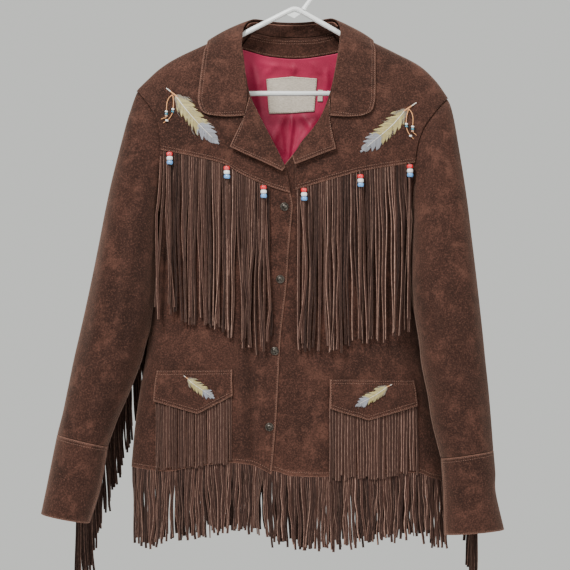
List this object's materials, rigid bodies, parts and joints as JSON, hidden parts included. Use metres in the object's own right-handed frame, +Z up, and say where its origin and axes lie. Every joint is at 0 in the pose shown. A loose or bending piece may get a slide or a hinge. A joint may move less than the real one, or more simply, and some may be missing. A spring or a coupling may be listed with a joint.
{
  "type": "fringed western leather jacket on a hanger",
  "caption": "Suede western jacket with long sleeves, cut fringe at yokes, pockets, sleeves and hem, hung on a tube hanger.",
  "frame": {"origin": "inside top of the hanger's hook, where the rod goes", "axes": "+Z up, -Y towards the jacket's front, +X towards the wearer's left"},
  "size_m": [0.6957, 0.1398, 0.9834],
  "materials": {
    "suede": "worn brown suede with a short nap",
    "fringe_suede": "cut suede strands, paler at their edges",
    "lining": "smooth crimson satin",
    "label": "plain cream woven tape, bare",
    "plastic": "white moulded plastic tube",
    "pewter": "dark worn pewter",
    "bead_glass": "glossy red, white and blue beads"
  },
  "bodies": {
    "root": {"back": "suede", "bead_trio_left_1": "bead_glass", "bead_trio_left_2": "bead_glass", "bead_trio_left_3": "bead_glass", "bead_trio_right_1": "bead_glass", "bead_trio_right_2": "bead_glass", "bead_trio_right_3": "bead_glass", "collar": "suede", "collar_stand": "suede", "cuff_top_left": "suede", "cuff_top_right": "suede", "cuff_under_left": "suede", "cuff_under_right": "suede", "flap_left": "suede", "flap_right": "suede", "fringe_hem_back": "fringe_suede", "fringe_hem_left": "fringe_suede", "fringe_hem_right": "fringe_suede", "fringe_pocket_left": "fringe_suede", "fringe_pocket_right": "fringe_suede", "fringe_sleeve_left": "fringe_suede", "fringe_sleeve_right": "fringe_suede", "fringe_yoke_left": "fringe_suede", "fringe_yoke_right": "fringe_suede", "front_left": "suede", "front_right": "suede", "hanger_frame": "plastic", "hanger_hook": "plastic", "hanger_web": "plastic", "label": "label", "lapel_left": "suede", "lapel_right": "suede", "lining": "lining", "neck_facing": "suede", "sleeve_top_left": "suede", "sleeve_top_right": "suede", "sleeve_under_left": "suede", "sleeve_under_right": "suede", "snap_1": "pewter", "snap_2": "pewter", "snap_3": "pewter", "snap_4": "pewter", "tag": "label", "yoke_left": "suede", "yoke_right": "suede"}
  },
  "joints": []
}
